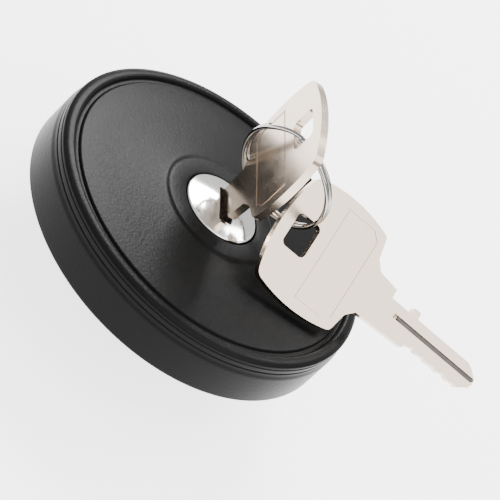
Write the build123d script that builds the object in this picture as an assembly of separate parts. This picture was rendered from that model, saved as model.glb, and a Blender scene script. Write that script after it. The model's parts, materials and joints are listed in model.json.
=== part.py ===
from build123d import *
import math
import os

# Locking fuel filler cap with its key, split ring and spare key.
# Millimetres. The origin is the centre of the gasket's sealing face, +Z is the cap's axis
# and points out of the filler neck, and X runs along the key slot.

# ---------------------------------------------------------------- driving dimensions
# outer cover
GROOVE_R = 36.0           # decorative groove that frames the face
GROOVE_Z = 7.2            # height of the face at that groove
SKIRT_BOTTOM_Z = -5.0
SKIRT_R = 39.9            # radius at the skirt's bottom edge
SKIRT_INNER_R = 37.3
CEILING_Z = 4.2           # underside of the cover's top
RIB_COUNT = 16
RIB_T = 1.2

# lock
FACE_R = 9.0              # polished lock face
FACE_EDGE_Z = 9.18
FACE_TOP_Z = 10.3
FACE_GAP = 0.35           # dark ring gap round the lock face
MOUTH_X = (-5.4, 4.7)     # key slot in the lock face
MOUTH_Y = (-1.35, 2.0)
BARREL_R = 6.5
BARREL_BORE_R = 6.55
BARREL_HEAD_R = 8.4
BARREL_HEAD_TOP = 8.55
BARREL_HEAD_BOTTOM = 4.3
BARREL_BOTTOM_Z = -17.7
HOUSING_R = 9.4
HOUSING_BOTTOM_Z = -15.9
CLIP_GROOVE_Z = (-16.7, -16.05)
SHUTTER_PIN_Y = 3.0
SHUTTER_PIN_Z = 7.45
WAFER_COUNT = 5
WAFER_PITCH = 3.2
WAFER_TOP_Z = 0.4
WAFER_T = 1.0
WAFER_HALF_Y = 2.9
WAFER_SPRING_Y = 3.75
TAIL_HALF = 2.0
CAM_TOP_Z = -17.75
CAM_BOTTOM_Z = -18.95
CAM_PIN_OFFSET = 3.3      # distance of the cam's drive pins from the axis
CAM_PIN_R = 1.0

# inner plug and bayonet
FLANGE_R = 32.2
FLANGE_T = 1.95
SHOULDER_R = 15.1
SHOULDER_Z = -6.0
HUB_R = 14.2
HUB_BOTTOM_Z = -17.0
COLLAR_R = 17.0           # plain band that guides the plug in the neck
GUIDE_R = 16.7            # collar below that band, where the bolts leave it
BAND_BOTTOM_Z = -19.0
COLLAR_BOTTOM_Z = -21.2
BASE_Z = -22.6            # underside of the end plate, the lowest point
GASKET_T = 2.2
GASKET_R = 29.0
LUG_REACH_R = 21.5
PLATE_T = 1.4
BOLT_T = 2.0
BOLT_TOP_Z = -19.1

# vent valve
VALVE_Y = 11.8
VALVE_BORE_R = 1.8
VALVE_SEAT_Z = -10.0
VENT_R = 0.9

# keys, drawn flat: x across the bow, y towards its outer end, y = 0 at the lock face's edge
KEY_T = 1.86
KEY_MID_Y = 0.78          # the key stands this far behind the barrel's axis
BOW_OUTER = (12.5, 31.6)
BOW_MIDDLE = (14.0, 21.0)
BOW_INNER = (12.3, 10.7)
BOW_END_Y = 33.8
SHOULDER = (7.4, 9.6)
NECK = (5.3, 7.6)
BLADE_LOW_X = -3.75
BLADE_HIGH_X = 2.5
BLADE_TIP_Y = -26.2
KEY_HOLE = (8.2, 6.3)
KEY_HOLE_Y = 27.85
CUT_DEPTHS = (0.5, 0.3, 0.15, 0.4, 0.2)

# split ring and spare key, as they hang
RING_CENTRE = (-0.032, 5.215, 24.454)
RING_NORMAL = (-0.7409, 0.5876, 0.3252)
RING_SPLIT = (-0.2, -0.6, 0.75)      # direction of the crossover between the two turns
RING_R = 11.625
RING_WIRE = 1.0
SPARE_ORIGIN = (11.463, 41.077, 15.317)
SPARE_X = (-0.7685, 0.1814, 0.6136)
SPARE_NORMAL = (0.6221, -0.0124, 0.7829)


# ---------------------------------------------------------------- helpers
def turned(points):
    """Solid of revolution about Z from a closed list of (radius, height) points."""
    outline = Plane.XZ * Polyline(points, close=True)
    return revolve(make_face(outline), Axis.Z)


def tube(outer_r, inner_r, bottom, top):
    return turned([(inner_r, bottom), (outer_r, bottom), (outer_r, top), (inner_r, top)])


def rod(radius, bottom, top, x=0.0, y=0.0):
    height = top - bottom
    return Pos(x, y, bottom + height / 2) * Cylinder(radius, height)


def block(x0, x1, y0, y1, z0, z1):
    size = (x1 - x0, y1 - y0, z1 - z0)
    return Pos((x0 + x1) / 2, (y0 + y1) / 2, (z0 + z1) / 2) * Box(*size)


def ring_positions(radius, angles):
    return [(radius * math.cos(math.radians(a)), radius * math.sin(math.radians(a))) for a in angles]


def countersunk_screw(x, y, head_z, tip_z, shank_r, head_r, head_depth):
    """Screw with its flat head at head_z, driven in +Z, with a cross recess."""
    profile = [
        (0, head_z),
        (head_r, head_z),
        (shank_r, head_z + head_depth),
        (shank_r, tip_z),
        (0, tip_z),
    ]
    recess = block(-1.3, 1.3, -0.25, 0.25, head_z, head_z + 0.7)
    recess += block(-0.25, 0.25, -1.3, 1.3, head_z, head_z + 0.7)
    return Pos(x, y, 0) * (turned(profile) - recess)


def screw_hole(x, y, head_z, tip_z, shank_r, head_r, head_depth):
    gap = 0.05
    profile = [
        (0, head_z - 1),
        (head_r + gap, head_z - 1),
        (head_r + gap, head_z),
        (shank_r + gap, head_z + head_depth + gap),
        (shank_r + gap, tip_z + 0.2),
        (0, tip_z + 0.2),
    ]
    return Pos(x, y, 0) * turned(profile)


def coil(radius, wire_w, wire_h, bottom, height, turns):
    """Coil spring about Z with a rectangular wire, between two heights."""
    run = height - wire_h
    path = Helix(pitch=run / turns, height=run, radius=radius, center=(0, 0, bottom + wire_h / 2))
    start = Plane(origin=path @ 0, x_dir=(1, 0, 0), z_dir=path % 0)
    return sweep(start * Rectangle(wire_w, wire_h), path=path, is_frenet=True)


# ---------------------------------------------------------------- cover
COVER_SCREW_SPOTS = ring_positions(25.0, (45, 135, 225, 315))
COVER_SCREW = dict(head_z=2.2, tip_z=6.2, shank_r=1.3, head_r=2.5, head_depth=1.2)


def outer_cover():
    """Moulded cover: lock boss, coned face, groove, rim lip, lined side wall and inner ribs."""
    recess_r = FACE_R + FACE_GAP
    top = GROOVE_Z
    profile = [
        (recess_r, CEILING_Z),
        (recess_r, top + 1.6),
        (recess_r + 0.35, top + 1.85),
        (13.4, top + 1.6),                   # boss round the lock
        (14.3, top + 1.15),
        (GROOVE_R - 1.0, top + 0.1),         # coned face
        (GROOVE_R - 0.7, top - 0.5),         # groove
        (GROOVE_R + 0.1, top - 0.5),
        (GROOVE_R + 0.4, top + 0.2),
        (GROOVE_R + 0.9, top + 0.5),         # rim lip
        (GROOVE_R + 2.1, top + 0.45),
        (39.0, top + 0.05),
        (39.2, top - 0.6),
        (39.0, top - 0.8),                   # fine lines of the upper ring
        (39.25, top - 1.0),
        (39.3, top - 1.9),
        (39.1, top - 2.1),
        (39.35, top - 2.3),
        (39.4, top - 2.95),
        (39.7, top - 3.8),                   # step to the plain band
        (SKIRT_R, SKIRT_BOTTOM_Z + 0.5),
        (SKIRT_R - 0.5, SKIRT_BOTTOM_Z),
        (SKIRT_INNER_R, SKIRT_BOTTOM_Z),
        (SKIRT_INNER_R - 0.2, CEILING_Z - 1.0),
        (SKIRT_INNER_R - 1.2, CEILING_Z),
    ]
    cover = turned(profile)
    inner = FLANGE_R + 1.4
    rib_side = Plane.XZ * Polyline([
        (inner, CEILING_Z + 0.2),
        (inner, CEILING_Z - 2.5),
        (SKIRT_INNER_R - 1.6, SKIRT_BOTTOM_Z + 1.5),
        (SKIRT_INNER_R + 0.3, SKIRT_BOTTOM_Z + 1.5),
        (SKIRT_INNER_R + 0.3, CEILING_Z + 0.2),
    ], close=True)
    rib = extrude(make_face(rib_side), amount=RIB_T / 2, both=True)
    for i in range(RIB_COUNT):
        cover += Rot(0, 0, (i + 0.5) * 360 / RIB_COUNT) * rib
    for x, y in COVER_SCREW_SPOTS:
        cover -= rod(COVER_SCREW["shank_r"] + 0.05, CEILING_Z - 1, COVER_SCREW["tip_z"] + 0.2, x, y)
    return cover


def cover_screws():
    return Compound([countersunk_screw(x, y, **COVER_SCREW).solid() for x, y in COVER_SCREW_SPOTS])


# ---------------------------------------------------------------- lock
def face_cap():
    """Domed bright cap crimped over the barrel's head, with the key slot."""
    rise = FACE_TOP_Z - FACE_EDGE_Z
    profile = [
        (FACE_R, 6.9),
        (FACE_R, FACE_EDGE_Z - 0.55),
        (FACE_R - 0.15, FACE_EDGE_Z - 0.2),
        (FACE_R - 0.5, FACE_EDGE_Z),
        (FACE_R * 0.72, FACE_EDGE_Z + rise * 0.46),
        (FACE_R * 0.4, FACE_EDGE_Z + rise * 0.84),
        (0, FACE_TOP_Z),
        (0, BARREL_HEAD_TOP + 0.05),
        (BARREL_HEAD_R + 0.05, BARREL_HEAD_TOP + 0.05),
        (BARREL_HEAD_R + 0.05, 6.9),
    ]
    return turned(profile) - block(*MOUTH_X, *MOUTH_Y, 8.0, 11.0)


def wafer_heights():
    return [WAFER_TOP_Z - i * WAFER_PITCH for i in range(WAFER_COUNT)]


def along_x(radius, length):
    """Round bar on the dust shutter's hinge line."""
    return Pos(0, SHUTTER_PIN_Y, SHUTTER_PIN_Z) * Rot(0, 90, 0) * Cylinder(radius, length)


def lock_barrel():
    """Turning barrel with an offset keyway, wafer slots, clip groove and square tail."""
    barrel = rod(BARREL_HEAD_R, BARREL_HEAD_BOTTOM, BARREL_HEAD_TOP)
    barrel += rod(BARREL_R, BARREL_BOTTOM_Z, BARREL_HEAD_BOTTOM)
    tail = block(-TAIL_HALF, TAIL_HALF, -TAIL_HALF, TAIL_HALF, CAM_BOTTOM_Z, BARREL_BOTTOM_Z)
    barrel += Rot(0, 0, 45) * tail
    low_y = KEY_MID_Y - KEY_T / 2 - 0.2
    high_y = KEY_MID_Y + KEY_T / 2 + 0.2
    barrel -= block(*MOUTH_X, *MOUTH_Y, 5.6, 9)
    barrel -= block(*MOUTH_X, low_y, high_y, 2.6, 9)
    barrel -= block(-4.1, 2.85, low_y, high_y, -17.2, 9)
    barrel -= block(-4.8, 4.8, high_y - 0.1, 3.9, 2.9, 9)        # room for the dust shutter
    barrel -= along_x(0.35, 12.2)
    barrel -= tube(BARREL_R + 1, 5.7, *CLIP_GROOVE_Z)
    gap = 0.05
    half_t = WAFER_T / 2 + gap
    for z in wafer_heights():
        barrel -= block(-8, 8, -WAFER_HALF_Y - gap, WAFER_HALF_Y + gap, z - half_t, z + half_t)
        barrel -= block(-2.35, 2.1, WAFER_HALF_Y, WAFER_SPRING_Y + 0.75, z - half_t, z + half_t)
    return barrel


def wafer(z):
    """Flat wafer with a window for the blade and an ear for its spring."""
    half_t = WAFER_T / 2
    plate = block(-6.2, 6.2, -WAFER_HALF_Y, WAFER_HALF_Y, z - half_t, z + half_t)
    plate &= rod(6.35, z - 1, z + 1)
    plate += block(-2.25, -1.25, 0, WAFER_SPRING_Y + 0.65, z - half_t, z + half_t)
    return plate - block(-4.2, 2.95, KEY_MID_Y - 1.15, KEY_MID_Y + 1.15, z - 1, z + 1)


def wafer_spring(z):
    spring = coil(0.36, 0.2, 0.2, 0, 3.1, 2)
    return Pos(-1.2, WAFER_SPRING_Y, z) * Rot(0, 90, 0) * spring


def dust_shutter():
    flap = block(-4.6, 4.6, 2.05, 2.45, 3.4, 8.0)
    for x in (-4.0, 4.0):
        flap += block(x - 0.6, x + 0.6, 2.05, 3.6, 6.9, 8.0)
    return flap - along_x(0.36, 12)


def shutter_pin():
    return along_x(0.3, 12)


def lock_housing():
    """Die-cast sleeve with a flatted flange, and two channels for the wafers' ends."""
    flange = rod(13.0, 2.3, CEILING_Z) & block(-14, 14, -9.6, 9.6, 0, 6)
    housing = rod(HOUSING_R, HOUSING_BOTTOM_Z, CEILING_Z) + flange
    housing -= rod(BARREL_BORE_R, HOUSING_BOTTOM_Z - 1, CEILING_Z + 1)
    housing -= block(-7.6, 7.6, -3.1, 3.1, wafer_heights()[-1] - 1.2, CEILING_Z + 1)
    housing -= tube(HOUSING_R + 1, HOUSING_R - 0.9, -7.5, -6.0)
    return housing


def housing_seal():
    return tube(HOUSING_R + 0.03, HOUSING_R - 0.88, -7.45, -6.05)


def barrel_clip():
    low, high = CLIP_GROOVE_Z
    clip = tube(7.9, 5.75, low + 0.03, high - 0.03)
    return clip - block(-12, 0, -3.0, 3.0, low - 1, high + 1)


def cam_plate():
    """Cam staked on the barrel's square tail, with a drive pin for each bolt."""
    cam = rod(6.8, CAM_BOTTOM_Z, CAM_TOP_Z)
    hole = TAIL_HALF + 0.03
    cam -= Rot(0, 0, 45) * block(-hole, hole, -hole, hole, CAM_BOTTOM_Z - 1, CAM_TOP_Z + 1)
    for x, y in ring_positions(CAM_PIN_OFFSET, (135, -45)):
        cam += rod(CAM_PIN_R, BOLT_TOP_Z - BOLT_T + 0.1, CAM_BOTTOM_Z, x, y)
    return cam


def locking_bolt():
    """Flat sliding bolt on the +Y side, drawn in, with a slot across it for its cam pin."""
    bottom = BOLT_TOP_Z - BOLT_T
    bolt = block(-9.0, 16.6, 0.4, 6.2, bottom, BOLT_TOP_Z) & rod(GUIDE_R - 0.2, bottom, BOLT_TOP_Z)
    pin_x = -CAM_PIN_OFFSET * math.sin(math.radians(45))
    slot = SlotOverall(3.9, 2 * (CAM_PIN_R + 0.22), rotation=90)
    bolt -= Pos(pin_x, 2.85, bottom - 1) * extrude(slot, amount=BOLT_T + 2)
    tip_bevel = Pos(16.4, 3.3, BOLT_TOP_Z + 0.5) * Rot(0, 35, 0) * Box(3.2, 8, 1.6)
    return bolt - tip_bevel


# ---------------------------------------------------------------- inner plug
END_SCREW_SPOTS = ring_positions(11.6, (50, 130, 230, 310))
END_SCREW = dict(head_z=BASE_Z, tip_z=-12.0, shank_r=1.15, head_r=2.15, head_depth=1.0)


def end_screw_bore(x, y, bottom, top):
    return rod(END_SCREW["shank_r"] + 0.05, bottom, top, x, y)


def plug_body():
    """Moulded inner plug: flange, hub with two key grooves, lock bore and vent bore."""
    flange_bottom = CEILING_Z - FLANGE_T - 0.05
    bore_r = HOUSING_R + 0.05
    profile = [
        (bore_r, HUB_BOTTOM_Z),
        (HUB_R, HUB_BOTTOM_Z),
        (HUB_R, SHOULDER_Z),
        (SHOULDER_R, SHOULDER_Z),
        (SHOULDER_R, flange_bottom),
        (FLANGE_R, flange_bottom),
        (FLANGE_R, CEILING_Z - 0.05),
        (bore_r, CEILING_Z - 0.05),
    ]
    plug = turned(profile)
    plug -= rod(13.1, 2.25, CEILING_Z + 1) & block(-14, 14, -9.7, 9.7, 0, 6)
    for side in (-1, 1):
        groove = Pos(side * (HUB_R + 0.5), 0, (SHOULDER_Z + HUB_BOTTOM_Z) / 2)
        plug -= groove * Box(4.0, 5.0, SHOULDER_Z - HUB_BOTTOM_Z)
    plug -= rod(VALVE_BORE_R, VALVE_SEAT_Z, CEILING_Z, 0, VALVE_Y)
    plug -= rod(VENT_R, HUB_BOTTOM_Z - 1, VALVE_SEAT_Z, 0, VALVE_Y)
    plug -= block(-VENT_R, VENT_R, VALVE_Y, FLANGE_R + 1, 3.3, CEILING_Z)
    for x, y in COVER_SCREW_SPOTS:
        plug -= screw_hole(x, y, **COVER_SCREW)
    for x, y in END_SCREW_SPOTS:
        plug -= end_screw_bore(x, y, HUB_BOTTOM_Z - 1, END_SCREW["tip_z"] + 0.2)
    return plug


def bolt_housing():
    """Collar under the hub that carries the two bolts."""
    collar = rod(COLLAR_R, BAND_BOTTOM_Z, HUB_BOTTOM_Z) + rod(GUIDE_R, COLLAR_BOTTOM_Z, BAND_BOTTOM_Z)
    collar -= rod(8.5, BOLT_TOP_Z, HUB_BOTTOM_Z + 1)
    collar -= block(-30, 30, -6.4, 6.4, COLLAR_BOTTOM_Z - 1, BOLT_TOP_Z + 0.1)
    collar -= rod(VENT_R, COLLAR_BOTTOM_Z - 1, HUB_BOTTOM_Z + 1, 0, VALVE_Y)
    for x, y in END_SCREW_SPOTS:
        collar -= end_screw_bore(x, y, COLLAR_BOTTOM_Z - 1, HUB_BOTTOM_Z + 1)
    return collar


def end_plate():
    plate = rod(GUIDE_R + 0.1, BASE_Z, COLLAR_BOTTOM_Z)
    plate -= rod(VENT_R, BASE_Z - 1, COLLAR_BOTTOM_Z + 1, 0, VALVE_Y)
    for x, y in END_SCREW_SPOTS:
        plate -= screw_hole(x, y, **END_SCREW)
    return plate


def end_screws():
    return Compound([countersunk_screw(x, y, **END_SCREW).solid() for x, y in END_SCREW_SPOTS])


def gasket():
    inner = SHOULDER_R + 0.3
    return turned([
        (inner, 0),
        (GASKET_R - 0.4, 0),
        (GASKET_R, 0.4),
        (GASKET_R, GASKET_T - 0.02),
        (inner, GASKET_T - 0.02),
    ])


PLATE_TOP_Z = SHOULDER_Z - 0.05


def bayonet_plate():
    """Pressed steel ring with two bayonet lugs and two keys that run in the hub's grooves."""
    bottom = PLATE_TOP_Z - PLATE_T
    plate = tube(17.4, HUB_R + 0.3, bottom, PLATE_TOP_Z)
    lug_side = Plane.XZ * Polyline([
        (-6.0, PLATE_TOP_Z),
        (4.0, PLATE_TOP_Z),
        (6.5, PLATE_TOP_Z - 1.3),
        (6.5, bottom - 1.3),
        (4.0, bottom),
        (-6.0, bottom),
    ], close=True)
    lug = extrude(make_face(lug_side), amount=30, dir=(0, 1, 0))
    lug &= tube(LUG_REACH_R, 16.7, bottom - 3, PLATE_TOP_Z + 1)
    hub_key = block(13.0, 15.6, -2.1, 2.1, bottom, PLATE_TOP_Z)
    for turn in (0, 180):
        plate += Rot(0, 0, turn) * lug
        plate += Rot(0, 0, turn) * hub_key
    return plate


def pressure_spring():
    bottom = HUB_BOTTOM_Z + 0.05
    height = PLATE_TOP_Z - PLATE_T - 0.05 - bottom
    return coil(15.55, 1.6, 0.9, bottom, height, 2.25)


# ---------------------------------------------------------------- vent valve
def valve_disc():
    z = VALVE_SEAT_Z
    disc = rod(1.5, z + 0.02, z + 1.0, 0, VALVE_Y)
    return disc + rod(0.5, z + 1.0, z + 4.0, 0, VALVE_Y)


def valve_spring():
    spring = coil(1.05, 0.35, 0.35, VALVE_SEAT_Z + 1.05, 5.6, 3)
    return Pos(0, VALVE_Y, 0) * spring


def valve_retainer():
    z = VALVE_SEAT_Z + 6.7
    return Pos(0, VALVE_Y, 0) * tube(VALVE_BORE_R - 0.02, 0.7, z, z + 1.0)


# ---------------------------------------------------------------- keys
def key_face():
    """Flat outline of the key with convex bow sides, an arched end and a cut blade edge."""
    ox, oy = BOW_OUTER
    mx, my = BOW_MIDDLE
    ix, iy = BOW_INNER
    sx, sy = SHOULDER
    nx, ny = NECK
    cuts = []
    for depth, z in zip(CUT_DEPTHS, wafer_heights()):
        y = z - FACE_EDGE_Z
        cuts += [
            (BLADE_LOW_X, y + 1.1),
            (BLADE_LOW_X + depth, y + 0.6),
            (BLADE_LOW_X + depth, y - 0.6),
            (BLADE_LOW_X, y - 1.1),
        ]
    low_side = [(-ix, iy), (-sx, sy), (-nx - 0.1, ny), (-4.85, -6.0), (BLADE_LOW_X, -6.3)]
    tip = [(-2.2, -25.1), (-0.2, BLADE_TIP_Y), (1.9, -23.6), (BLADE_HIGH_X, -22.2)]
    high_side = [(BLADE_HIGH_X, -6.1), (4.1, -5.9), (4.1, -4.1), (BLADE_HIGH_X, -3.8),
                 (BLADE_HIGH_X, 2.0), (4.6, 2.1), (nx, ny), (sx, sy), (ix, iy)]
    edges = [
        Polyline(low_side + cuts + tip + high_side),
        ThreePointArc((ix, iy), (mx, my), (ox, oy)),
        ThreePointArc((ox, oy), (0, BOW_END_Y), (-ox, oy)),
        ThreePointArc((-ox, oy), (-mx, my), (-ix, iy)),
    ]
    face = make_face(edges)
    for side in (-1, 1):
        for (x, y), radius in ((BOW_OUTER, 2.4), (BOW_INNER, 1.4), (SHOULDER, 1.6)):
            corner = face.vertices().sort_by_distance((side * x, y, 0))[0]
            face = fillet(corner, radius)
    return face - Pos(0, KEY_HOLE_Y) * RectangleRounded(*KEY_HOLE, 1.3)


def flat_key():
    key = extrude(key_face(), amount=KEY_T / 2, both=True)
    panel = make_face(Polyline([(-11.6, 21.9), (11.6, 21.9), (11.6, 14.0), (9.8, 12.0), (-9.8, 12.0),
                                (-11.6, 14.0)], close=True))
    line = panel - offset(panel, amount=-0.35, kind=Kind.INTERSECTION)
    for side in (-1, 1):
        key -= Pos(0, 0, side * (KEY_T / 2) - 0.12) * extrude(line, amount=0.24)
    groove = block(-0.85, 0.25, BLADE_TIP_Y - 1, -1.2, 0.2, 2)
    groove += Pos(-0.3, -1.2, 1.0) * Rot(30, 0, 0) * Box(1.1, 2.4, 0.9)
    back_groove = block(0.9, 3.2, BLADE_TIP_Y - 1, -7.5, -2, -0.35)
    return key - groove - back_groove


def key_inserted():
    place = Plane(origin=(0, KEY_MID_Y, FACE_EDGE_Z), x_dir=(1, 0, 0), z_dir=(0, -1, 0))
    return place * flat_key()


def key_spare():
    return Plane(origin=SPARE_ORIGIN, x_dir=SPARE_X, z_dir=SPARE_NORMAL) * flat_key()


# ---------------------------------------------------------------- split ring
def split_ring():
    """Two flat turns of spring wire that touch, joined by one short crossover."""
    rise = RING_WIRE * 1.03
    crossover = 40.0
    turn = 360.0 - crossover
    climb = Helix(pitch=rise * 360 / crossover, height=rise, radius=RING_R, center=(0, 0, -rise / 2))
    section = Plane.XZ * (Pos(RING_R, -rise / 2) * RegularPolygon(RING_WIRE / 2, 6))
    wire = sweep(section, path=climb, is_frenet=True)
    wire += revolve(section, Axis.Z, -turn + 2)
    upper = Rot(0, 0, crossover) * Pos(0, 0, rise) * section
    wire += revolve(upper, Axis.Z, turn - 2)
    split = Vector(*RING_SPLIT).cross(Vector(*RING_NORMAL)).cross(Vector(*RING_NORMAL)) * -1
    return Plane(origin=RING_CENTRE, x_dir=split, z_dir=RING_NORMAL) * Rot(0, 0, -crossover / 2) * wire


# ---------------------------------------------------------------- export
def main():
    parts = {
        "outer_cover": outer_cover(),
        "cover_screws": cover_screws(),
        "barrel_face_cap": face_cap(),
        "lock_barrel": lock_barrel(),
        "lock_housing": lock_housing(),
        "housing_seal": housing_seal(),
        "dust_shutter": dust_shutter(),
        "shutter_pin": shutter_pin(),
        "barrel_clip": barrel_clip(),
        "cam_plate": cam_plate(),
        "locking_bolt_a": locking_bolt(),
        "locking_bolt_b": Rot(0, 0, 180) * locking_bolt(),
        "plug_body": plug_body(),
        "bolt_housing": bolt_housing(),
        "end_plate": end_plate(),
        "end_screws": end_screws(),
        "gasket": gasket(),
        "bayonet_plate": bayonet_plate(),
        "pressure_spring": pressure_spring(),
        "valve_disc": valve_disc(),
        "valve_spring": valve_spring(),
        "valve_retainer": valve_retainer(),
        "key_inserted": key_inserted(),
        "split_ring": split_ring(),
        "key_spare": key_spare(),
    }
    for i, z in enumerate(wafer_heights()):
        parts[f"wafer_{i + 1}"] = wafer(z)
        parts[f"wafer_spring_{i + 1}"] = wafer_spring(z)
    os.makedirs("parts", exist_ok=True)
    for name, shape in parts.items():
        export_step(shape, f"parts/{name}.step")


main()
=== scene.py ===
import json
import math

import bpy
from mathutils import Matrix, Vector


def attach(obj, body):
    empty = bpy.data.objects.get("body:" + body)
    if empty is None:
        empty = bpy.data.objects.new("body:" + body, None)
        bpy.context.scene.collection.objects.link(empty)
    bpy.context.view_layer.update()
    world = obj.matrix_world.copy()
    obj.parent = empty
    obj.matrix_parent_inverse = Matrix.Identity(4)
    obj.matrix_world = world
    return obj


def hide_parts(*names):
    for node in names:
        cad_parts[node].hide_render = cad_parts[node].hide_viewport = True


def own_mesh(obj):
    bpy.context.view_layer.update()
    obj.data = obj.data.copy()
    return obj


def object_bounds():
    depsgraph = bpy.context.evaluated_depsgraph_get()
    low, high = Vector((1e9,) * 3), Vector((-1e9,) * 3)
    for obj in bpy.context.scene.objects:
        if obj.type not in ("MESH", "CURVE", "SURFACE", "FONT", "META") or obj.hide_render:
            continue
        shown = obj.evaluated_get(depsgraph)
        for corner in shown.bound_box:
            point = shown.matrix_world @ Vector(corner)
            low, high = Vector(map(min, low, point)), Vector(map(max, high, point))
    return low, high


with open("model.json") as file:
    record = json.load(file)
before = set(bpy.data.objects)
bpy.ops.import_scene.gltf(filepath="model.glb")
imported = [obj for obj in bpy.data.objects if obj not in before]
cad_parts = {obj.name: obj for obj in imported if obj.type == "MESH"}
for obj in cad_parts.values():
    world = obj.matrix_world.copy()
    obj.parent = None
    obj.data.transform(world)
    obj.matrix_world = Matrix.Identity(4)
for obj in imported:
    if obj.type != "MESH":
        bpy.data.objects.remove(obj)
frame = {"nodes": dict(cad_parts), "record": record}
cad_low, cad_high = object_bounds()
nodes = frame["nodes"]
scene = bpy.context.scene
MM = 0.001                # the part's tables are in millimetres, the scene is in metres


# ---------------------------------------------------------------- materials
GRAIN_DEPTH = 0.05 * MM


def new_node(tree, kind, **values):
    """Shader node with constants on its sockets; "_" stands for a space in a socket's name."""
    node = tree.nodes.new(kind)
    for socket, value in values.items():
        node.inputs[socket.replace("_", " ")].default_value = value
    return node


def node_material(name, colour, metallic=0.0, rough=(0.3, 0.4), noise_scale=400.0, bump=0.0,
                  bump_scale=3000.0, colour_vary=0.06, specular=0.5):
    """Principled material whose colour, roughness and surface vary with noise."""
    mat = bpy.data.materials.new(name)
    mat.use_nodes = True
    tree = mat.node_tree
    link = tree.links.new
    tree.nodes.clear()
    out = new_node(tree, "ShaderNodeOutputMaterial")
    bsdf = new_node(tree, "ShaderNodeBsdfPrincipled", Metallic=metallic,
                    Specular_IOR_Level=specular)
    link(bsdf.outputs["BSDF"], out.inputs["Surface"])
    coord = new_node(tree, "ShaderNodeTexCoord")
    noise = new_node(tree, "ShaderNodeTexNoise", Scale=noise_scale, Detail=3.0)
    link(coord.outputs["Object"], noise.inputs["Vector"])
    ramp = new_node(tree, "ShaderNodeMapRange", From_Min=0.3, From_Max=0.7,
                    To_Min=rough[0], To_Max=rough[1])
    link(noise.outputs["Fac"], ramp.inputs["Value"])
    link(ramp.outputs["Result"], bsdf.inputs["Roughness"])
    mix = tree.nodes.new("ShaderNodeMix")
    mix.data_type = "RGBA"
    mix.inputs["A"].default_value = [c * (1 - colour_vary) for c in colour] + [1.0]
    mix.inputs["B"].default_value = [min(1.0, c * (1 + colour_vary)) for c in colour] + [1.0]
    link(noise.outputs["Fac"], mix.inputs["Factor"])
    link(mix.outputs["Result"], bsdf.inputs["Base Color"])
    if bump > 0:
        grain = new_node(tree, "ShaderNodeTexNoise", Scale=bump_scale, Detail=2.0)
        link(coord.outputs["Object"], grain.inputs["Vector"])
        relief = new_node(tree, "ShaderNodeBump", Strength=bump, Distance=GRAIN_DEPTH)
        link(grain.outputs["Fac"], relief.inputs["Height"])
        link(relief.outputs["Normal"], bsdf.inputs["Normal"])
    return mat


FINISHES = {
    "cover_plastic": dict(colour=(0.006, 0.006, 0.006), rough=(0.30, 0.36), noise_scale=1500,
                          bump=0.8, bump_scale=1600, specular=0.05),
    "plug_plastic": dict(colour=(0.012, 0.012, 0.013), rough=(0.40, 0.52), bump=0.4,
                         specular=0.12),
    "gasket_rubber": dict(colour=(0.012, 0.012, 0.012), rough=(0.6, 0.75), bump=0.3,
                          specular=0.12),
    "bright_chrome": dict(colour=(0.95, 0.94, 0.92), metallic=1.0, rough=(0.10, 0.15),
                          noise_scale=120, colour_vary=0.02),
    "cast_zinc": dict(colour=(0.42, 0.42, 0.43), metallic=0.9, rough=(0.35, 0.5), bump=0.2),
    "brass": dict(colour=(0.72, 0.52, 0.22), metallic=1.0, rough=(0.25, 0.35)),
    "spring_steel": dict(colour=(0.42, 0.42, 0.43), metallic=1.0, rough=(0.25, 0.35)),
    "plated_steel": dict(colour=(0.62, 0.61, 0.57), metallic=1.0, rough=(0.25, 0.38)),
    "key_nickel": dict(colour=(0.61, 0.50, 0.40), metallic=1.0, rough=(0.19, 0.25),
                       noise_scale=180, colour_vary=0.03),
    # painted shade: dark colour of the strip laid in the blade's groove, in place of the dark
    # that the groove's slanted sides reflect
    "groove_painted_shade": dict(colour=(0.10, 0.09, 0.08), metallic=0.6, rough=(0.35, 0.5)),
    "ring_steel": dict(colour=(0.36, 0.35, 0.33), metallic=1.0, rough=(0.08, 0.12)),
}
MATERIALS = {name: node_material(name, **finish) for name, finish in FINISHES.items()}

for entry in frame["record"]["subparts"]:
    obj = nodes[entry["node"]]
    obj.data.materials.clear()
    obj.data.materials.append(MATERIALS[entry["material_slot"]])


# ---------------------------------------------------------------- mesh helpers
def add_mesh(name, verts, faces, slot, body, smooth=True):
    """Mesh object from vertices in mm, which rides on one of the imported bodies."""
    mesh = bpy.data.meshes.new(name)
    mesh.from_pydata([Vector(v) * MM for v in verts], [], faces)
    mesh.validate()
    if smooth:
        mesh.shade_smooth()
    obj = bpy.data.objects.new(name, mesh)
    scene.collection.objects.link(obj)
    mesh.materials.append(MATERIALS[slot])
    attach(obj, body)
    return obj


def sharp_by_angle(obj, degrees):
    obj.data.set_sharp_from_angle(angle=math.radians(degrees))


def band_faces(rows, around, close_rows=False):
    """Quads between rows of `around` points; `close_rows` joins the last row to the first."""
    faces = []
    for i in range(rows if close_rows else rows - 1):
        low = i * around
        high = (i + 1) % rows * around
        for k in range(around):
            n = (k + 1) % around
            faces.append((low + k, high + k, high + n, low + n))
    return faces


def prism_faces(count):
    """Faces of a prism whose ends are the points 0 to count - 1 and count to 2 count - 1."""
    sides = [(i, i + count, (i + 1) % count + count, (i + 1) % count) for i in range(count)]
    return [tuple(range(count)), tuple(range(count, 2 * count))[::-1]] + sides


def lathe(name, profile, slot, body, segments):
    """Surface of revolution about Z from a closed list of (radius, height) points."""
    verts = []
    for i in range(segments):
        a = 2 * math.pi * i / segments
        verts += [(r * math.cos(a), r * math.sin(a), z) for r, z in profile]
    return add_mesh(name, verts, band_faces(segments, len(profile), close_rows=True), slot, body)


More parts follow.
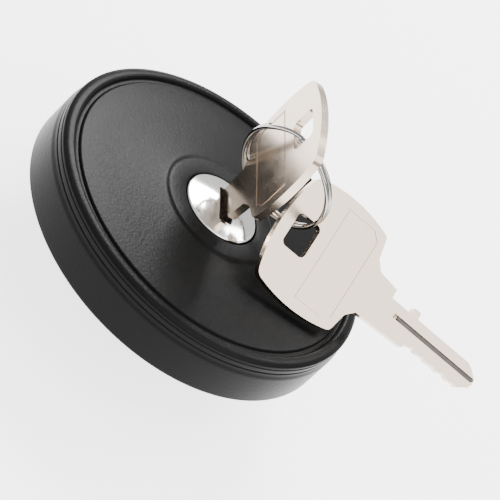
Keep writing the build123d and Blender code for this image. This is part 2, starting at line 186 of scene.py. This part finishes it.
def round_corners(points, steps=4):
    """Rounds a closed outline of (x, y, rounding) points with small quadratic curves."""
    result = []
    for i, (x, y, rounding) in enumerate(points):
        if rounding <= 0:
            result.append((x, y))
            continue
        px, py, _ = points[i - 1]
        nx, ny, _ = points[(i + 1) % len(points)]
        lp, ln = math.hypot(px - x, py - y), math.hypot(nx - x, ny - y)
        t = min(rounding, 0.45 * lp, 0.45 * ln)
        ax, ay = x + (px - x) * t / lp, y + (py - y) * t / lp
        bx, by = x + (nx - x) * t / ln, y + (ny - y) * t / ln
        for s in range(steps + 1):
            u = s / steps
            cx = (1 - u) ** 2 * ax + 2 * u * (1 - u) * x + u * u * bx
            cy = (1 - u) ** 2 * ay + 2 * u * (1 - u) * y + u * u * by
            result.append((cx, cy))
    return result


def frame_matrix(origin, x_dir, z_dir):
    """Placing matrix from an origin in mm, a rough X direction and a Z direction."""
    z = Vector(z_dir).normalized()
    x = Vector(x_dir)
    x = (x - z * x.dot(z)).normalized()
    rows = Matrix((x, z.cross(x), z)).transposed()
    return Matrix.Translation(Vector(origin) * MM) @ rows.to_4x4()


def placed(place, verts):
    """Vertices in mm, moved by a placing matrix."""
    return [(place @ (Vector(v) * MM)) / MM for v in verts]


# ---------------------------------------------------------------- cover
COVER_PROFILE = [         # radius, height, rounding of the corner
    (9.35, 4.2, 0), (9.35, 8.85, 0.3),                                            # opening
    (13.4, 8.8, 0.8), (14.3, 8.35, 0.8),                                          # boss
    (25.0, 7.75, 4.0), (35.0, 7.3, 0.3),                                          # coned face
    (35.3, 6.75, 0.15), (36.1, 6.75, 0.15),                                       # groove
    (36.4, 7.4, 0.3), (36.9, 7.7, 0.3), (38.1, 7.62, 0.5), (39.1, 7.1, 0.7),      # rim lip
    (39.2, 6.55, 0.1), (39.05, 6.4, 0.08), (39.25, 6.2, 0.1), (39.3, 5.3, 0.1),   # fine lines
    (39.12, 5.12, 0.08), (39.35, 4.9, 0.1), (39.4, 4.25, 0.3),
    (39.7, 3.45, 0.3), (39.9, -4.5, 0.5), (39.5, -5.0, 0.4),                      # side wall
    (37.3, -5.0, 0.2), (37.1, 3.2, 0.5), (36.1, 4.2, 0.5),                        # inside
]
COVER_SEGMENTS = 288
COVER_SHARP = 40          # degrees, as all the sharp angles below
RIB_COUNT = 16
RIB_SIDE = [(33.6, 4.2), (33.6, 1.7), (35.7, -3.5), (37.5, -3.5), (37.5, 4.2)]
RIB_HALF_T = 0.6


def build_cover():
    """Moulded cover with rounded corners, and the stiffening ribs inside it."""
    outline = round_corners(COVER_PROFILE)
    cover = lathe("cover_shell", outline, "cover_plastic", "shell", COVER_SEGMENTS)
    sharp_by_angle(cover, COVER_SHARP)
    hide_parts("outer_cover")
    faces = prism_faces(len(RIB_SIDE))
    for i in range(RIB_COUNT):
        spin = Matrix.Rotation(math.radians((i + 0.5) * 360 / RIB_COUNT), 4, "Z")
        verts = [spin @ Vector((r, y, z)) for y in (-RIB_HALF_T, RIB_HALF_T) for r, z in RIB_SIDE]
        add_mesh(f"cover_rib_{i + 1}", verts, faces, "cover_plastic", "shell", smooth=False)


build_cover()


# ---------------------------------------------------------------- polished lock face
FACE_SEGMENTS = 240
FACE_ROWS = 26            # rows of quads from the slot's edge to the dome's rim
FACE_SHARP = 38
MOUTH_X = (-5.4, 4.7)
MOUTH_Y = (-1.35, 2.0)
MOUTH_POWER = 14.0        # a high power gives the slot nearly square corners
MOUTH_EDGE = [(1.6, 0.0), (0.25, 0.0), (0.12, 0.03), (0.04, 0.10)]    # depth, step outwards
MOUTH_EDGE_WIDTH = 0.2
FACE_R = 9.0
DOME_R = 8.45
FACE_EDGE_Z = 9.18
FACE_RISE = 1.12
RIM_ANGLES = (1.4, 1.15, 0.85, 0.55, 0.25)                            # radians
SKIRT = [(FACE_R, FACE_EDGE_Z - 0.62), (FACE_R, 6.9), (DOME_R, 6.9), (DOME_R, 8.6)]


def mouth_point(a):
    """Point of the slot's outline in the direction of angle `a` from its middle."""
    cx, cy = sum(MOUTH_X) / 2, sum(MOUTH_Y) / 2
    hx, hy = MOUTH_X[1] - cx, MOUTH_Y[1] - cy
    dx, dy = math.cos(a), math.sin(a)
    reach = (abs(dx / hx) ** MOUTH_POWER + abs(dy / hy) ** MOUTH_POWER) ** (-1 / MOUTH_POWER)
    return cx + dx * reach, cy + dy * reach


def dome_point(x, y, depth=0.0):
    """Point on the dome, or `depth` under it."""
    height = FACE_EDGE_Z - 0.05 + FACE_RISE * (1 - (math.hypot(x, y) / DOME_R) ** 2)
    return x, y, height - depth


def build_lock_face():
    """Domed face as one grid of quads from the key slot's rounded edge out to the rim."""
    angles = [2 * math.pi * i / FACE_SEGMENTS for i in range(FACE_SEGMENTS)]
    spokes = [(math.cos(a), math.sin(a), *mouth_point(a)) for a in angles]
    verts = []
    for depth, out in MOUTH_EDGE:
        verts += [dome_point(x + out * c, y + out * s, depth) for c, s, x, y in spokes]
    for row in range(FACE_ROWS + 1):
        u = row / FACE_ROWS
        for c, s, x, y in spokes:
            x0, y0 = x + MOUTH_EDGE_WIDTH * c, y + MOUTH_EDGE_WIDTH * s
            verts.append(dome_point(x0 + (DOME_R * c - x0) * u, y0 + (DOME_R * s - y0) * u))
    rim = [(FACE_R - 0.45 * (1 - math.cos(b)), FACE_EDGE_Z - 0.5 + 0.42 * math.sin(b))
           for b in RIM_ANGLES]
    for r, z in rim + SKIRT:
        verts += [(r * c, r * s, z) for c, s, _, _ in spokes]
    faces = band_faces(len(verts) // FACE_SEGMENTS, FACE_SEGMENTS)
    dome = add_mesh("lock_face_dome", verts, faces, "bright_chrome", "barrel")
    sharp_by_angle(dome, FACE_SHARP)
    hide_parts("barrel_face_cap")


build_lock_face()


# ---------------------------------------------------------------- split ring
RING_AT = frame_matrix((-0.032, 5.215, 24.454), (-0.2, -0.6, 0.75), (-0.7409, 0.5876, 0.3252))
RING_R = 11.625
RING_WIRE_R = 0.5
RING_AROUND = 14          # points round the wire
RING_TURN = 338           # degrees of wire on each side of the crossover's middle
RING_STEP = 2             # degrees
RING_CROSSOVER = 40       # degrees in which the wire passes from one turn to the other
RING_SPREAD = 1.03        # the two turns lie this many wire widths apart
RING_SHARP = 50


def build_ring():
    """Split ring of two flat turns that one smooth crossover joins."""
    verts = []
    spots = range(-RING_TURN, RING_TURN + 1, RING_STEP)
    for deg in spots:
        a = math.radians(deg)
        rise = min(max((deg + RING_CROSSOVER / 2) / RING_CROSSOVER, 0), 1)
        rise = rise * rise * (3 - 2 * rise)
        height = RING_WIRE_R * RING_SPREAD * (2 * rise - 1)
        for k in range(RING_AROUND):
            b = 2 * math.pi * k / RING_AROUND
            r = RING_R + RING_WIRE_R * math.cos(b)
            verts.append((r * math.cos(a), r * math.sin(a), height + RING_WIRE_R * math.sin(b)))
    faces = band_faces(len(spots), RING_AROUND)
    faces.append(tuple(range(RING_AROUND)))
    faces.append(tuple(range(len(verts) - RING_AROUND, len(verts)))[::-1])
    ring = add_mesh("ring_wire", placed(RING_AT, verts), faces, "ring_steel", "ring")
    sharp_by_angle(ring, RING_SHARP)
    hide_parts("split_ring")


build_ring()


# ---------------------------------------------------------------- keys
KEY_EDGE = 0.14
KEY_EDGE_ANGLE = 50       # edges sharper than this many degrees are softened
KEY_FRAMES = {
    "key_inserted": ("key", frame_matrix((0, 0.78, 9.18), (1, 0, 0), (0, -1, 0))),
    "key_spare": ("spare", frame_matrix((11.463, 41.077, 15.317), (-0.7685, 0.1814, 0.6136),
                                        (0.6221, -0.0124, 0.7829))),
}
GROOVE_STRIP = [(-0.3, -1.6), (-0.78, -3.4), (-0.78, -25.3), (0.0, -26.0), (0.2, -25.8),
                (0.2, -3.0)]
GROOVE_FLOOR = (0.55, 0.25)


def soften_edges(node):
    bevel = nodes[node].modifiers.new("edge", "BEVEL")
    bevel.width = KEY_EDGE * MM
    bevel.segments = 2
    bevel.limit_method = "ANGLE"
    bevel.angle_limit = math.radians(KEY_EDGE_ANGLE)
    bevel.harden_normals = False


def build_painted_groove_shade(node, body, place):
    """Dark strip on the floor of the long groove in the blade: painted shade, which stands in for
    the dark that the groove's slanted sides reflect.
    """
    verts = placed(place, [(x, y, z) for z in GROOVE_FLOOR for x, y in GROOVE_STRIP])
    # painted shade: a dark strip put in the groove where there is only shade
    strip = add_mesh(f"{node}_groove", verts, prism_faces(len(GROOVE_STRIP)), "groove_painted_shade", body,
                     smooth=False)


for node in KEY_FRAMES:
    soften_edges(node)
for node, (body, place) in KEY_FRAMES.items():
    build_painted_groove_shade(node, body, place)


# ---------------------------------------------------------------- springs
COIL_STEPS = 60           # points in a turn
COIL_CORNER = 0.3         # cut corner of the wire, as a share of its height
COIL_SHARP = 30
PRESSURE_BOTTOM, PRESSURE_LENGTH, BAYONET_TRAVEL = -16.95, 9.45, 3.0
VALVE_BOTTOM, VALVE_LENGTH, VALVE_TRAVEL, VALVE_Y = -8.95, 5.6, 1.2, 11.8


def wire_section(width, height):
    """Section of a flat wire with its corners cut, as (radial, axial) points."""
    corner = COIL_CORNER * height
    section = []
    for sx, sz, side_first in ((1, 1, True), (-1, 1, False), (-1, -1, True), (1, -1, False)):
        pair = [(sx * width / 2, sz * (height / 2 - corner)),
                (sx * (width / 2 - corner), sz * height / 2)]
        section += pair if side_first else pair[::-1]
    return section


def coil_wire(name, centre, radius, wire, bottom, length, turns):
    """Coil of flat wire (width, height) about a vertical axis, between two heights."""
    section = wire_section(*wire)
    count = len(section)
    height = wire[1]
    rows = int(turns * COIL_STEPS)
    verts = []
    for i in range(rows + 1):
        a = 2 * math.pi * turns * i / rows
        z = bottom + height / 2 + (length - height) * i / rows
        verts += [(centre[0] + (radius + w) * math.cos(a), centre[1] + (radius + w) * math.sin(a),
                   z + h) for w, h in section]
    faces = [(a, d, c, b) for a, b, c, d in band_faces(rows + 1, count)]
    faces += [tuple(range(count)), tuple(rows * count + k for k in range(count))[::-1]]
    coil = add_mesh(name, verts, faces, "spring_steel", "shell")
    sharp_by_angle(coil, COIL_SHARP)
    return coil


def build_springs():
    """The two springs, each a coil of flat wire."""
    pressure = coil_wire("pressure_coil", (0, 0), 15.55, (1.6, 0.9), PRESSURE_BOTTOM,
                         PRESSURE_LENGTH, 2.25)
    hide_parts("pressure_spring")
    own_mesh(pressure)
    valve = coil_wire("valve_coil", (0, VALVE_Y), 1.05, (0.35, 0.35), VALVE_BOTTOM,
                      VALVE_LENGTH, 3)
    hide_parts("valve_spring")
    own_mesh(valve)


build_springs()


# ---------------------------------------------------------------- floor and world
FLOOR_HALF = 4.0          # metres
FLOOR_GAP = 0.1           # keeps the floor clear of the part's lowest face
FLOOR_COLOUR = (0.92, 0.92, 0.92, 1)
FLOOR_GLOW = 2.9          # makes the near-white ground of the photo
WORLD_GLOW = 0.8
WHITE = (1.0, 1.0, 1.0, 1)


def floor_material():
    mat = bpy.data.materials.new("floor_white")
    mat.use_nodes = True
    sockets = mat.node_tree.nodes["Principled BSDF"].inputs
    sockets["Base Color"].default_value = FLOOR_COLOUR
    sockets["Roughness"].default_value = 0.9
    sockets["Specular IOR Level"].default_value = 0.1
    sockets["Emission Color"].default_value = WHITE
    sockets["Emission Strength"].default_value = FLOOR_GLOW
    return mat


def build_floor():
    h = FLOOR_HALF
    mesh = bpy.data.meshes.new("floor")
    mesh.from_pydata([(-h, -h, 0), (h, -h, 0), (h, h, 0), (-h, h, 0)], [], [(0, 1, 2, 3)])
    mesh.materials.append(floor_material())
    floor = bpy.data.objects.new("floor", mesh)
    floor.location = (0, 0, cad_low[2] - FLOOR_GAP * MM)
    scene.collection.objects.link(floor)


def build_world():
    world = bpy.data.worlds.new("studio")
    scene.world = world
    world.use_nodes = True
    background = world.node_tree.nodes["Background"].inputs
    background["Color"].default_value = WHITE
    background["Strength"].default_value = WORLD_GLOW


build_floor()
build_world()


# ---------------------------------------------------------------- camera and lights
# the photo's camera, fitted to the cap, the keys and the ring
CAMERA_AT = Vector((309.1, -168.4, 244.2)) * MM
CAMERA_RIGHT = Vector((-0.01019, 0.79436, 0.60737))
CAMERA_DOWN = Vector((0.69832, 0.44040, -0.56427))
CAMERA_FORWARD = Vector((-0.71572, 0.41839, -0.55920))
CAMERA_SENSOR = 36.0
CAMERA_LENS = 142.9

SOFTBOXES = [             # name, place in metres, side in metres, power in watts
    ("main_softbox", (0.40, 0.40, 0.86), 0.9, 9.0),
    ("side_softbox", (-0.72, 0.12, 0.68), 0.4, 15.0),
    ("back_softbox", (-0.40, 0.59, 0.71), 0.3, 4.0),
]


def add_camera():
    data = bpy.data.cameras.new("photo_camera")
    data.sensor_width = CAMERA_SENSOR
    data.lens = CAMERA_LENS
    data.clip_start = 0.01
    data.dof.use_dof = False
    camera = bpy.data.objects.new("photo_camera", data)
    scene.collection.objects.link(camera)
    turn = Matrix((CAMERA_RIGHT, -CAMERA_DOWN, -CAMERA_FORWARD)).transposed()
    camera.matrix_world = Matrix.Translation(CAMERA_AT) @ turn.to_4x4()
    scene.camera = camera


def add_softbox(name, place, side, power):
    """Square area light that faces the part."""
    data = bpy.data.lights.new(name, "AREA")
    data.shape = "RECTANGLE"
    data.size = data.size_y = side
    data.energy = power
    light = bpy.data.objects.new(name, data)
    light.location = place
    light.rotation_euler = (-Vector(place)).to_track_quat("-Z", "Y").to_euler()
    scene.collection.objects.link(light)


add_camera()
for softbox in SOFTBOXES:
    add_softbox(*softbox)
